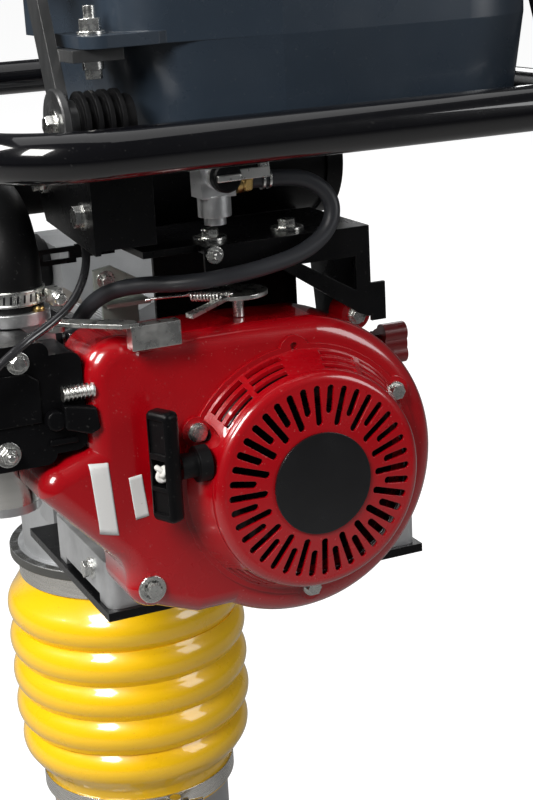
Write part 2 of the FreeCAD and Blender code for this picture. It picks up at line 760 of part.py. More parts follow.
def make_intake():
    shell = fuse(
        rounded(block(eng(-240, 8, 36.5), eng(-181, 58, 124)), 8, along(Y)),
        rounded(block(eng(-232, 8, 43.5), eng(-158.5, 54, 114)), 8, along(Y)),
    )
    finish("carb_cover", shell)
    finish("carburettor", fuse(
        block(eng(-214, 60, 26), eng(-160, 96, 126)),
        rod(eng(-184, 78, 125), Z, 9, 26),
        rod(eng(-202, 87, -16), Z, 44, 26),
    ))

    centre = size("elbow_dia") / 2
    low = eng(-184, 78, 134.3)
    bend = 46
    up = low + Z * 24
    corner = up + Z * bend
    away = corner + Y * bend
    turn_y = away + Y * 12
    side = turn_y + Y * bend
    end = eng(-72.3, 0, 0)
    finish_point = Vector(end.x, side.y, corner.z)
    root = math.sqrt(0.5)
    path = Part.Wire([
        Part.LineSegment(low, up).toShape(),
        Part.Arc(up, Vector(up.x, up.y + bend * (1 - root), up.z + bend * root), away).toShape(),
        Part.LineSegment(away, turn_y).toShape(),
        Part.Arc(
            turn_y, Vector(up.x + bend * (1 - root), turn_y.y + bend * root, corner.z),
            Vector(up.x + bend, side.y, corner.z),
        ).toShape(),
        Part.LineSegment(Vector(up.x + bend, side.y, corner.z), finish_point).toShape(),
    ])
    hose = document.addObject("Part::Feature", "intake_hose")
    outer = path.makePipeShell([Part.Wire(Part.makeCircle(centre, low, Z))], True, False)
    inner = path.makePipeShell([Part.Wire(Part.makeCircle(centre - 3, low, Z))], True, False)
    hose.Shape = outer.cut(inner)
    finish("intake_hose", hose)

    cleaner = "Dims.cleaner_dia / 2"
    axis_height = corner.z - size("shaft_height")
    axis_y = side.y + size("recoil_setback")
    finish("air_cleaner", fuse(
        rod(eng(-72, axis_y, axis_height), X, 172, cleaner),
        rod(eng(98, axis_y, axis_height), X, 14, "Dims.cleaner_dia / 2 + 2.5"),
        rod(eng(112, axis_y, axis_height), X, 5, 30),
    ))
    return axis_y, axis_height


def make_controls():
    post = block(eng(-112, 95, 72.3), eng(-84, 98, 128))
    shield = panel([
        eng(-118, 92, 126), eng(-118, 92, 150), eng(-104, 92, 152), eng(-84, 92, 140), eng(-84, 92, 126),
    ], Y, 3)
    shelf = block(eng(-118, 66, 126), eng(-84, 95, 129))
    finish("control_bracket", fuse(post, shield, shelf))
    arm = fuse(
        rod(eng(-30, 30, 115), Z, 17.5, 4),
        rod(eng(-30, 30, 131.3), Z, 3, 22),
        panel([
            eng(-45, 14, 131.3), eng(-86, -22, 131.3), eng(-88, -14, 131.3), eng(-62, 6, 131.3),
            eng(-52, 28, 131.3), eng(-30, 30, 131.3),
        ], Z, 3),
    )
    finish("governor_arm", arm)
    lever = fuse(
        rod(eng(-168, 30, 124.4), Z, 8, 6),
        panel([
            eng(-174, 30, 129.2), eng(-168, 36, 129.2), eng(-126, 1, 129.2), eng(-122, -4, 129.2),
            eng(-122, -14, 129.2), eng(-134, -12, 129.2), eng(-162, 14, 129.2),
        ], Z, 3),
        cut(block(eng(-128, -14, 113), eng(-92, -3, 130)), block(eng(-122, -12, 111), eng(-90, -5, 128))),
    )
    finish("choke_lever", lever)


def make_beam(axis_y, axis_height):
    """The pressed beam on the engine that carries the air cleaner."""
    top = 170
    radius = size("cleaner_dia") / 2
    deck = block(eng(-98, 36, top - 5), eng(76, 126, top))
    nose = block(eng(-56, 24, top - 5), eng(76, 36, top))
    lip = block(eng(-56, 24, top - 20), eng(76, 27, top - 5))
    web = panel([
        eng(-8, 24, top - 5), eng(76, 24, top - 5), eng(76, 24, 101), eng(66, 24, 104), eng(0, 24, 149),
    ], Y, 3)
    window = panel([eng(20, 20, 148), eng(64, 20, 148), eng(64, 20, 122)], Y, 10)
    back = block(eng(-60, 122, 72.3), eng(60, 126, top - 5))
    gusset = panel([
        eng(72, 24, 101), eng(72, 24, top - 5), eng(72, 126, top - 5), eng(72, 110, 72.3), eng(72, 90, 72.3),
        eng(72, 64, 116), eng(72, 28, 116), eng(72, 28, 101),
    ], X, 4)
    post = block(eng(50, 90, 72.3), eng(72, 110, 80))
    ear = block(eng(76, 24, 97), eng(88, 27, 126))
    strap = fuse(
        block(eng(-158, 98, 157), eng(-128, 101, 169)), block(eng(-128, 98, 160), eng(-98, 101, 170)),
    )
    slot = block(eng(-153, 90, 160.5), eng(-133, 110, 165.5))
    low = axis_height - radius - 8
    shelf = block(eng(-60, 126, low), eng(80, axis_y + 22, low + 5))
    saddle = block(eng(-60, axis_y - 24, low + 5), eng(80, axis_y + 22, low + 16))
    seat = rod(eng(-80, axis_y, axis_height), X, 200, radius + 0.3)
    solids = [deck, nose, lip, web, back, gusset, post, ear, strap, shelf, saddle]
    finish("tray_beam", cut(fuse(*solids), seat, slot, window))


# ---------------------------------------------------------------- handle, tank and fuel

def tube_path(points, radius):
    """A wire of straight runs joined by tangent arcs of one radius or of one radius per corner."""
    edges = []
    start = points[0]
    for index in range(1, len(points) - 1):
        corner = points[index]
        before = (points[index - 1] - corner).normalize()
        after = (points[index + 1] - corner).normalize()
        turn = math.pi - before.getAngle(after)
        bend = radius[index - 1] if isinstance(radius, list) else radius
        reach = bend * math.tan(turn / 2)
        first = corner + before * reach
        last = corner + after * reach
        inward = (before + after).normalize()
        middle = corner + inward * (bend / math.cos(turn / 2) - bend)
        edges.append(Part.LineSegment(start, first).toShape())
        edges.append(Part.Arc(first, middle, last).toShape())
        start = last
    edges.append(Part.LineSegment(start, points[-1]).toShape())
    return Part.Wire(edges)


def hoop(path, radius):
    """A circle round the start of a path, square to it."""
    start = path.Edges[0].valueAt(path.Edges[0].FirstParameter)
    direction = path.Edges[0].tangentAt(path.Edges[0].FirstParameter)
    return Part.Wire(Part.makeCircle(radius, start, direction))


def sweep(node, path, radius, placement=TILT):
    """A round bar along a path, checked against its section times its length."""
    solid = path.makePipeShell([hoop(path, radius)], True, False)
    expected = math.pi * radius ** 2 * path.Length
    if abs(solid.Volume - expected) > 0.02 * expected:
        raise RuntimeError(f"{node}: the swept volume {solid.Volume:.0f} is not {expected:.0f}")
    bar = document.addObject("Part::Feature", node)
    bar.Shape = solid
    return finish(node, bar, placement)


def cord_radii(points):
    """The largest even radius for each corner of a cord's route."""
    radii = []
    for index in range(1, len(points) - 1):
        before = points[index - 1] - points[index]
        after = points[index + 1] - points[index]
        turn = math.pi - before.getAngle(after)
        radii.append(0.45 * min(before.Length, after.Length) / math.tan(turn / 2))
    return radii


def make_handle():
    half = size("handle_half")
    rear = -size("handle_rear")
    front = size("handle_front")
    rise = size("handle_rise")
    corners = [
        eng(0, rear, rise), eng(-half, rear, rise), eng(-half, front, rise),
        eng(half, front, rise), eng(half, rear, rise), eng(0, rear, rise),
    ]
    path = tube_path(corners, size("bend_radius"))
    tube = sweep("handle_frame", path, size("tube_dia") / 2)
    core = path.makePipeShell([hoop(path, size("tube_dia") / 2 - size("tube_wall"))], True, False)
    tube.Shape = tube.Shape.cut(core.transformGeometry(TILT.toMatrix()))

    mount_y = size("recoil_setback") - 10
    arms = []
    for side in (-1, 1):
        near = block(eng(min(side * 100, side * 108), mount_y - 30, 60),
                     eng(max(side * 100, side * 108), mount_y + 30, rise - 8))
        strap = block(eng(min(side * 108, side * (half - 15)), mount_y - 30, rise - 16),
                      eng(max(side * 108, side * (half - 15)), mount_y + 30, rise - 8))
        saddle = block(eng(side * half - 15, mount_y - 30, rise - 30),
                       eng(side * half + 15, mount_y + 30, rise))
        arms.append(fuse(near, strap, saddle))
    tube = [
        rod(eng(side * half, mount_y - 60, rise), Y, 120, size("tube_dia") / 2 + 0.05) for side in (-1, 1)
    ]
    finish("handle_arms", cut(fuse(*arms), *tube))
    ribs = [rod(eng(-161 + 2 * step + 1.0, -30, 272), X, 3, 20) for step in (1, 5, 9, 13)]
    finish("shock_mounts", fuse(rod(eng(-160.9, -30, 272), X, 37.5, 16), *ribs, *[
        fuse(rod(eng(min(side * 55.3, side * 100), mount_y, 90), X, 44.7, 24),
             rod(eng(min(side * 60, side * 94), mount_y, 90), X, 34, 29))
        for side in (-1, 1)
    ]))


def make_tank():
    """A moulded tank: a lower and an upper half on one parting line, an ear and a filler cap."""
    low = size("tank_low")
    high = size("tank_high")
    seam = 56
    body = new_body("fuel_tank")
    right = [
        (122, -50), ((175.1, -29.3), (200, 22)), (200, 160), ((190, 186), (164, 196)),
    ]
    waist = right + [
        (-90, 196), ((-115, 186), (-124, 160)), (-124, 14), ((-108.4, -25.8), (-70, -44.5)), (-20, -50),
    ]

    def drawn_in(point):
        """A point of the waist, moved in towards the tank's middle for the draft of the lower half."""
        if isinstance(point[0], tuple):
            return tuple(drawn_in(spot) for spot in point)
        return (38 + 0.957 * (point[0] - 38), 73 + 0.945 * (point[1] - 73))

    bottom = new_sketch(body, "XY_Plane")
    outline(bottom, [drawn_in(point) for point in waist])
    lower = new_sketch(body, "XY_Plane", seam)
    outline(lower, waist)
    half = body.newObject("PartDesign::AdditiveLoft", "LowerHalf")
    half.Profile = bottom
    half.Sections = [(lower, [""])]
    upper = new_sketch(body, "XY_Plane", seam)
    outline(upper, right + [
        (-96, 196), ((-121, 186), (-130, 160)), (-130, -2), ((-120, -28.6), (-95, -42)), (-20, -50),
    ])
    pad(body, upper, "Dims.tank_high - Dims.tank_low - 56")
    document.recompute()
    rim = [
        f"Edge{number}" for number, edge in enumerate(body.Shape.Edges, start=1)
        if all(abs(vertex.Point.z - (high - low)) < 1e-6 for vertex in edge.Vertexes)
    ]
    solid = body.Tip
    fillet = body.newObject("PartDesign::Fillet", "TopEdge")
    fillet.Base = (solid, rim)
    fillet.Radius = 16.0
    ear = new_sketch(body, "XY_Plane", seam)
    outline(ear, [(-90, -38), (-90, 20), (-155, 20), (-155, -33), ((-151, -44), (-140, -48)), (-104, -44)])
    pad(body, ear, 8.0)
    boss = new_sketch(body, "XY_Plane", seam)
    boss.addGeometry(Part.Circle(Vector(-142, -22, 0), Z, 12.0))
    pad(body, boss, 8.0)
    body.Placement = Placement(eng(0, 0, low), Rotation())
    inside = block(eng(-78, -28, low + 8), eng(160, 182, high - 8))
    finish("fuel_tank", cut(body, inside))
    cap = fuse(rod(eng(60, 60, high), Z, 20, 34), rod(eng(60, 60, high + 20), Z, 4, 28))
    finish("tank_cap", cap)
    bolt = fuse(
        rod(eng(-142, -22, low + 64), Z, 2, 9), hexagon(eng(-142, -22, low + 66), Z, 8, 13),
        rod(eng(-142, -22, low + 74), Z, 8, 4),
    )
    grommet = fuse(rod(eng(-142, -22, low + 42), Z, 6, 7), hexagon(eng(-142, -22, low + 36), Z, 6, 10))
    bracket = [hex_bolt(eng(-148, 6, 206), LEFT, 13), hex_bolt(eng(-148, 98, 220), LEFT, 13)]
    finish("handle_bolts", fuse(bolt, grommet, *bracket))


def make_lifting():
    """Flat arms with an eye each, a tab under the tank's ear and the lifting roller."""
    left = [eng(-168, -30, 272), eng(-168, 22, 392), eng(-168, 330, 424)]
    solids = []
    for base in (0, 380):
        for first, last in zip(left, left[1:]):
            span = last - first
            bar = box(Vector(0, -11, 0), 7, 22, span.Length)
            slope = Rotation(X, -math.degrees(math.atan2(span.y, span.z)))
            bar.Placement = Placement(first + X * base, slope)
            solids.append(bar)
        for spot in left:
            solids.append(rod(spot + X * base, X, 7, 15 if spot is left[0] else 11))
    tab = block(eng(-161, -40, 310), eng(-127, 6, 317.6))
    finish("lifting_arms", cut(fuse(*solids, tab), rod(left[0] - X * 5, X, 17, 6)))
    finish("lifting_roller", fuse(
        rod(left[2] + X * 7.2, X, 372.6, 9), rod(left[2] + X * 150, X, 80, 15),
    ))


def make_bracket():
    side = panel([
        eng(-148, -12, 239.6), eng(-148, -12, 181), eng(-148, 98, 190), eng(-148, 112, 212),
        eng(-148, 112, 239.6),
    ], X, 4)
    rear = block(eng(-144, -12, 184), eng(-104, -8, 246))
    stay = block(eng(-144, -54, 240), eng(-124, -8, 246))
    finish("rear_bracket", fuse(side, rear, stay))
    finish("rubber_block", rounded(block(eng(-143.7, -7.7, 186), eng(-103, 70, 238)), 6, along(Z)))


def make_fuel():
    valve = fuse(
        rod(eng(-46, 22, size("tank_low") - 26), Z, 25.7, 6),
        block(eng(-60, 12, 206), eng(-34, 32, 238)),
        rod(eng(-47, 22, 192), Z, 15, 12),
        rod(eng(-47, 22, 186), Z, 8, 8),
        rod(eng(-47, 12, 222), REAR, 4, 10),
        rod(eng(-35, 22, 214), X, 16, 4),
    )
    finish("fuel_valve", valve)
    lever = fuse(
        rod(eng(-47, 7.7, 222), REAR, 7, 8.5),
        block(eng(-47, 1.2, 218.5), eng(-12, 4.2, 225.5)),
    )
    finish("valve_lever", lever)
    route = [
        eng(-18.7, 22, 214), eng(2, 22, 214), eng(26, 20, 211), eng(43, 16, 196), eng(40, 13, 175),
        eng(18, 10, 160), eng(-14, 9, 153), eng(-50, 11, 149), eng(-78, 22, 147), eng(-100, 42, 146),
        eng(-119, 61, 140), eng(-131, 75, 127), eng(-140, 80, 110), eng(-157.4, 80, 105),
    ]
    radii = cord_radii(route)
    print("fuel hose radii", [round(radius, 1) for radius in radii])
    sweep("fuel_hose", tube_path(route, radii), size("hose_dia") / 2)


def make_throttle():
    half = size("handle_half")
    rise = size("handle_rise")
    clamp = cut(
        block(eng(-half - 21, 70, rise - 21), eng(-half + 21, 100, rise + 26)),
        rod(eng(-half, 60, rise), Y, 60, size("tube_dia") / 2 + 0.05),
    )
    finish("throttle_mount", clamp)
    lever = fuse(
        rod(eng(-half, 85, rise + 26.3), Z, 9, 17),
        block(eng(-half - 7, 0, rise + 28), eng(-half + 7, 85, rise + 33)),
        rod(eng(-half, 0, rise + 26.3), Z, 9, 9),
    )
    finish("throttle_lever", lever)
    route = [
        eng(-half + 21.4, 85, rise - 10), eng(-half + 38, 86, rise - 8), eng(-165, 89, 252),
        eng(-147, 93, 250),
        eng(-134, 92, 236), eng(-128, 87, 210), eng(-128, 80, 186), eng(-132, 58, 170), eng(-143, 34, 158),
        eng(-159, 16, 145), eng(-179, 4, 136), eng(-200, -6, 129), eng(-223, -12, 116), eng(-241, -8, 98),
        eng(-254, 6, 80), eng(-256, 22, 66), eng(-243, 33, 58),
    ]
    radii = cord_radii(route)
    print("throttle cable radii", [round(radius, 1) for radius in radii])
    sweep("throttle_cable", tube_path(route, radii), size("cable_dia") / 2)


make_foot()
make_springs()
make_piston()
make_bellows()
band_clamp("lower_clamp", size("skirt_outer") / 2 + 6.3, 222, math.radians(262))
band_clamp("upper_clamp", size("neck_dia") / 2 + 5.3, 461.5, math.radians(60))
make_crankcase()
make_mechanism()
make_engine()
make_covers()
cleaner_y, cleaner_height = make_intake()
make_controls()
make_beam(cleaner_y, cleaner_height)
make_handle()
make_tank()
make_lifting()
make_bracket()
make_fuel()
make_throttle()

document.recompute()
failed = [
    f"{obj.Name} ({obj.Label})" for obj in document.Objects
    if "Invalid" in obj.State or "Error" in obj.State
]
if failed:
    raise RuntimeError(f"features that failed: {failed}")
for node, obj in parts.items():
    if obj.Shape.isNull() or not obj.Shape.isValid():
        raise RuntimeError(f"{node} has no valid shape")

os.makedirs("parts", exist_ok=True)
for node, obj in parts.items():
    obj.Shape.exportStep(f"parts/{node}.step")
print(len(parts), "nodes written")
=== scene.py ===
import math

import bmesh
import bpy
from mathutils import Matrix, Vector
from mathutils.bvhtree import BVHTree


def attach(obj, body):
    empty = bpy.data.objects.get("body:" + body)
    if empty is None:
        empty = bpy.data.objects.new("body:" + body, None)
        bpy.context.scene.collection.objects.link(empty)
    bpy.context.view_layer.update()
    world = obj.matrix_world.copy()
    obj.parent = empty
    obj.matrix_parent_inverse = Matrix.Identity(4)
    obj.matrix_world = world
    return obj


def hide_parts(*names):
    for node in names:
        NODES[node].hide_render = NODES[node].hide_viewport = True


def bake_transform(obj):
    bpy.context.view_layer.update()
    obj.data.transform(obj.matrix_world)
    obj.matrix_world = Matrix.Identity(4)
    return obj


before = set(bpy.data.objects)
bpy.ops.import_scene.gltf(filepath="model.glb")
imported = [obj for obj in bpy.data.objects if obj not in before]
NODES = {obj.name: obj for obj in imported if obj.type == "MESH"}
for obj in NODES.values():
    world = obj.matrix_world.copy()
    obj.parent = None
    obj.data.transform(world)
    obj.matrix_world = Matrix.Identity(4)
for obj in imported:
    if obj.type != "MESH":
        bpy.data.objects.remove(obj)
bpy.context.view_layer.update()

LEAN = math.radians(8)

# The engine frame in millimetres: origin on the crankshaft axis at the recoil starter's plane,
# +Z up the leg, -Y towards the operator. ENG carries it into the row frame in metres.
ENG = (
    Matrix.Rotation(-LEAN, 4, "X")
    @ Matrix.Translation((0.0, -0.45, 0.68))
    @ Matrix.Scale(0.001, 4)
)
# Thicknesses of the cords, in millimetres.
HOSE = 12.0
CABLE = 6.0
ROPE = 4.0
X = Vector((1, 0, 0))
Y = Vector((0, 1, 0))
Z = Vector((0, 0, 1))


# ------------------------------------------------------------------ camera and light

def make_camera():
    """The photograph's viewpoint."""
    data = bpy.data.cameras.new("camera")
    data.lens = 72.0
    data.sensor_width = 36.0
    data.clip_end = 50.0
    camera = bpy.data.objects.new("camera", data)
    turn = ENG.to_3x3() * 1000.0
    place = Vector((-467.8, -1018.5, 384.7))
    look = (turn @ Vector((0.3826, 0.8797, -0.2825))).normalized()
    up = (turn @ Vector((0.1636, 0.2364, 0.9578))).normalized()
    right = look.cross(up).normalized()
    up = right.cross(look)
    basis = Matrix((right, up, -look)).transposed().to_4x4()
    basis.translation = ENG @ place
    camera.matrix_world = basis
    bpy.context.scene.collection.objects.link(camera)
    bpy.context.scene.camera = camera


def area_light(name, place, target, width, height, power, colour=(1.0, 1.0, 1.0)):
    """A soft box at a place that points at a target."""
    data = bpy.data.lights.new(name, "AREA")
    data.shape = "RECTANGLE"
    data.size = width
    data.size_y = height
    data.energy = power
    data.color = colour
    lamp = bpy.data.objects.new(name, data)
    lamp.location = place
    lamp.rotation_euler = (Vector(target) - Vector(place)).to_track_quat("-Z", "Y").to_euler()
    bpy.context.scene.collection.objects.link(lamp)


def floor_paint():
    """Matt mid grey paint, with a glow on camera rays only that makes it near white in the picture."""
    material = surface(
        "floor_paint", (0.30, 0.30, 0.30), 0.8, tint=0.01, bump=0.0, spec=0.1, round_edges=False,
    )
    tree = material.node_tree
    path = tree.nodes.new("ShaderNodeLightPath")
    glow = tree.nodes.new("ShaderNodeMath")
    glow.operation = "MULTIPLY"
    glow.inputs[1].default_value = 0.92
    tree.links.new(path.outputs["Is Camera Ray"], glow.inputs[0])
    shader = tree.nodes["Principled BSDF"]
    shader.inputs["Emission Color"].default_value = (1, 1, 1, 1)
    tree.links.new(glow.outputs[0], shader.inputs["Emission Strength"])
    return material


def make_stage():
    """A plain floor, a world that is white to camera rays and dim as a light, and soft boxes."""
    scene = bpy.context.scene
    scene.view_settings.view_transform = "Standard"
    world = bpy.data.worlds.new("studio")
    world.use_nodes = True
    tree = world.node_tree
    tree.nodes.clear()
    out = tree.nodes.new("ShaderNodeOutputWorld")
    seen = tree.nodes.new("ShaderNodeBackground")
    lit = tree.nodes.new("ShaderNodeBackground")
    path = tree.nodes.new("ShaderNodeLightPath")
    mix = tree.nodes.new("ShaderNodeMixShader")
    seen.inputs["Color"].default_value = (1, 1, 1, 1)
    seen.inputs["Strength"].default_value = 1.0
    lit.inputs["Color"].default_value = (0.93, 0.96, 1, 1)
    lit.inputs["Strength"].default_value = 0.065
    tree.links.new(path.outputs["Is Camera Ray"], mix.inputs["Fac"])
    tree.links.new(lit.outputs[0], mix.inputs[1])
    tree.links.new(seen.outputs[0], mix.inputs[2])
    tree.links.new(mix.outputs[0], out.inputs["Surface"])
    scene.world = world

    mesh = bpy.data.meshes.new("floor")
    half = 9.0
    level = -0.0005
    mesh.from_pydata(
        [(-half, -half, level), (half, -half, level), (half, half, level), (-half, half, level)],
        [], [(0, 1, 2, 3)],
    )
    floor = bpy.data.objects.new("floor", mesh)
    scene.collection.objects.link(floor)
    floor.data.materials.append(floor_paint())

    # Two tall windows to the left make the paired highlights along the tubes and ribs.
    area_light("window_near", (-1.78, -1.29, 2.6), (0, -0.2, 0.6), 0.9, 1.1, 78, (1.0, 0.985, 0.96))
    area_light("window_far", (-2.13, 0.53, 2.6), (0, -0.1, 0.6), 0.9, 1.1, 70, (1.0, 0.985, 0.96))
    area_light("side", (1.9, -1.9, 1.9), (0, -0.2, 0.6), 1.0, 1.4, 20)
    area_light("top", (0.2, 0.3, 3.0), (0, 0, 0.5), 2.6, 2.2, 17)
    area_light("back", (1.6, 2.4, 2.0), (0, 0, 0.7), 1.4, 1.0, 18)


# ------------------------------------------------------------------ materials

def node(tree, kind, **values):
    """A node with inputs and properties set by name."""
    made = tree.nodes.new(kind)
    for key, value in values.items():
        name = key.replace("_", " ")
        if name in made.inputs:
            made.inputs[name].default_value = value
        else:
            setattr(made, key, value)
    return made


def mapping(tree, scale):
    """Object coordinates, stretched by a scale along each axis."""
    where = tree.nodes.new("ShaderNodeTexCoord")
    shift = tree.nodes.new("ShaderNodeMapping")
    shift.inputs["Scale"].default_value = scale
    tree.links.new(where.outputs["Object"], shift.inputs["Vector"])
    return shift.outputs["Vector"]


def noise(tree, vector, scale, detail=3.0, rough=0.55):
    """A noise texture's value."""
    made = node(tree, "ShaderNodeTexNoise", Scale=scale, Detail=detail, Roughness=rough)
    tree.links.new(vector, made.inputs["Vector"])
    return made.outputs["Fac"]


def ramp(tree, value, low, high, out_low=0.0, out_high=1.0):
    """A value remapped between two limits."""
    made = tree.nodes.new("ShaderNodeMapRange")
    tree.links.new(value, made.inputs["Value"])
    made.inputs["From Min"].default_value = low
    made.inputs["From Max"].default_value = high
    made.inputs["To Min"].default_value = out_low
    made.inputs["To Max"].default_value = out_high
    return made.outputs["Result"]


def mixed(tree, factor, first, second):
    """A colour between two, each a colour or an output."""
    made = tree.nodes.new("ShaderNodeMix")
    made.data_type = "RGBA"
    tree.links.new(factor, made.inputs["Factor"])
    for socket, value in (("A", first), ("B", second)):
        target = [i for i in made.inputs if i.name == socket and i.type == "RGBA"][0]
        if isinstance(value, tuple):
            target.default_value = (*value, 1.0)
        else:
            tree.links.new(value, target)
    return [o for o in made.outputs if o.type == "RGBA"][0]


def shade(colour, factor):
    """A colour made lighter or darker."""
    return tuple(min(1.0, max(0.0, channel * factor)) for channel in colour)


def surface(
    name, base, rough, metal=0.0, coat=0.0, coat_rough=0.04, tint=0.12, grain=900.0, bump=0.1,
    stretch=(1, 1, 1), rough_spread=0.08, edge=None, edge_size=0.0008, spots=None, spec=0.5,
    patch=14.0, wear=0.5, round_edges=True,
):
    """A procedural finish: uneven tone, uneven roughness, fine relief, dust and edge wear."""
    material = bpy.data.materials.new(name)
    material.use_nodes = True
    tree = material.node_tree
    shader = tree.nodes["Principled BSDF"]
    vector = mapping(tree, stretch)
    broad = noise(tree, vector, patch, 4.0)
    fine = noise(tree, vector, grain, 3.0)
    tone = mixed(tree, ramp(tree, broad, 0.3, 0.7), shade(base, 1 - tint), shade(base, 1 + tint))
    mottle = noise(tree, vector, grain / 6, 2.0)
    tone = mixed(tree, ramp(tree, mottle, 0.62, 0.8, 0.0, 0.5), tone, shade(base, 1 + 1.6 * tint))
    if spots:
        dust = noise(tree, mapping(tree, (1, 1, 1)), 420.0, 1.0)
        tone = mixed(tree, ramp(tree, dust, 0.70, 0.78, 0.0, 0.6), tone, spots)
    corner = None
    if edge or round_edges:
        soft = node(tree, "ShaderNodeBevel", samples=6, Radius=edge_size)
        corner = soft.outputs["Normal"]
    if edge:
        flat = tree.nodes.new("ShaderNodeNewGeometry")
        dot = tree.nodes.new("ShaderNodeVectorMath")
        dot.operation = "DOT_PRODUCT"
        tree.links.new(corner, dot.inputs[0])
        tree.links.new(flat.outputs["Normal"], dot.inputs[1])
        worn = ramp(tree, dot.outputs["Value"], 0.97, 0.80)
        chips = ramp(tree, noise(tree, mapping(tree, (1, 1, 1)), 240.0, 4.0), 0.46, 0.60, 0.0, wear)
        both = tree.nodes.new("ShaderNodeMath")
        both.operation = "MULTIPLY"
        tree.links.new(worn, both.inputs[0])
        tree.links.new(chips, both.inputs[1])
        tone = mixed(tree, both.outputs[0], tone, edge)
    tree.links.new(tone, shader.inputs["Base Color"])
    wipes = noise(tree, vector, patch * 3, 5.0)
    tree.links.new(
        ramp(tree, wipes, 0.25, 0.75, rough - rough_spread, rough + rough_spread),
        shader.inputs["Roughness"],
    )
    relief = node(tree, "ShaderNodeBump", Strength=bump, Distance=0.0004)
    tree.links.new(fine, relief.inputs["Height"])
    if corner is not None:
        tree.links.new(corner, relief.inputs["Normal"])
    tree.links.new(relief.outputs["Normal"], shader.inputs["Normal"])
    shader.inputs["Metallic"].default_value = metal
    shader.inputs["Coat Weight"].default_value = coat
    shader.inputs["Coat Roughness"].default_value = coat_rough
    shader.inputs["Specular IOR Level"].default_value = spec
    return material


def paint(node_names, material):
    """Give CAD nodes a material."""
    for name in node_names:
        data = NODES[name].data
        if not data.materials:
            data.materials.append(material)
        for index in range(len(data.materials)):
            data.materials[index] = material


make_camera()
make_stage()

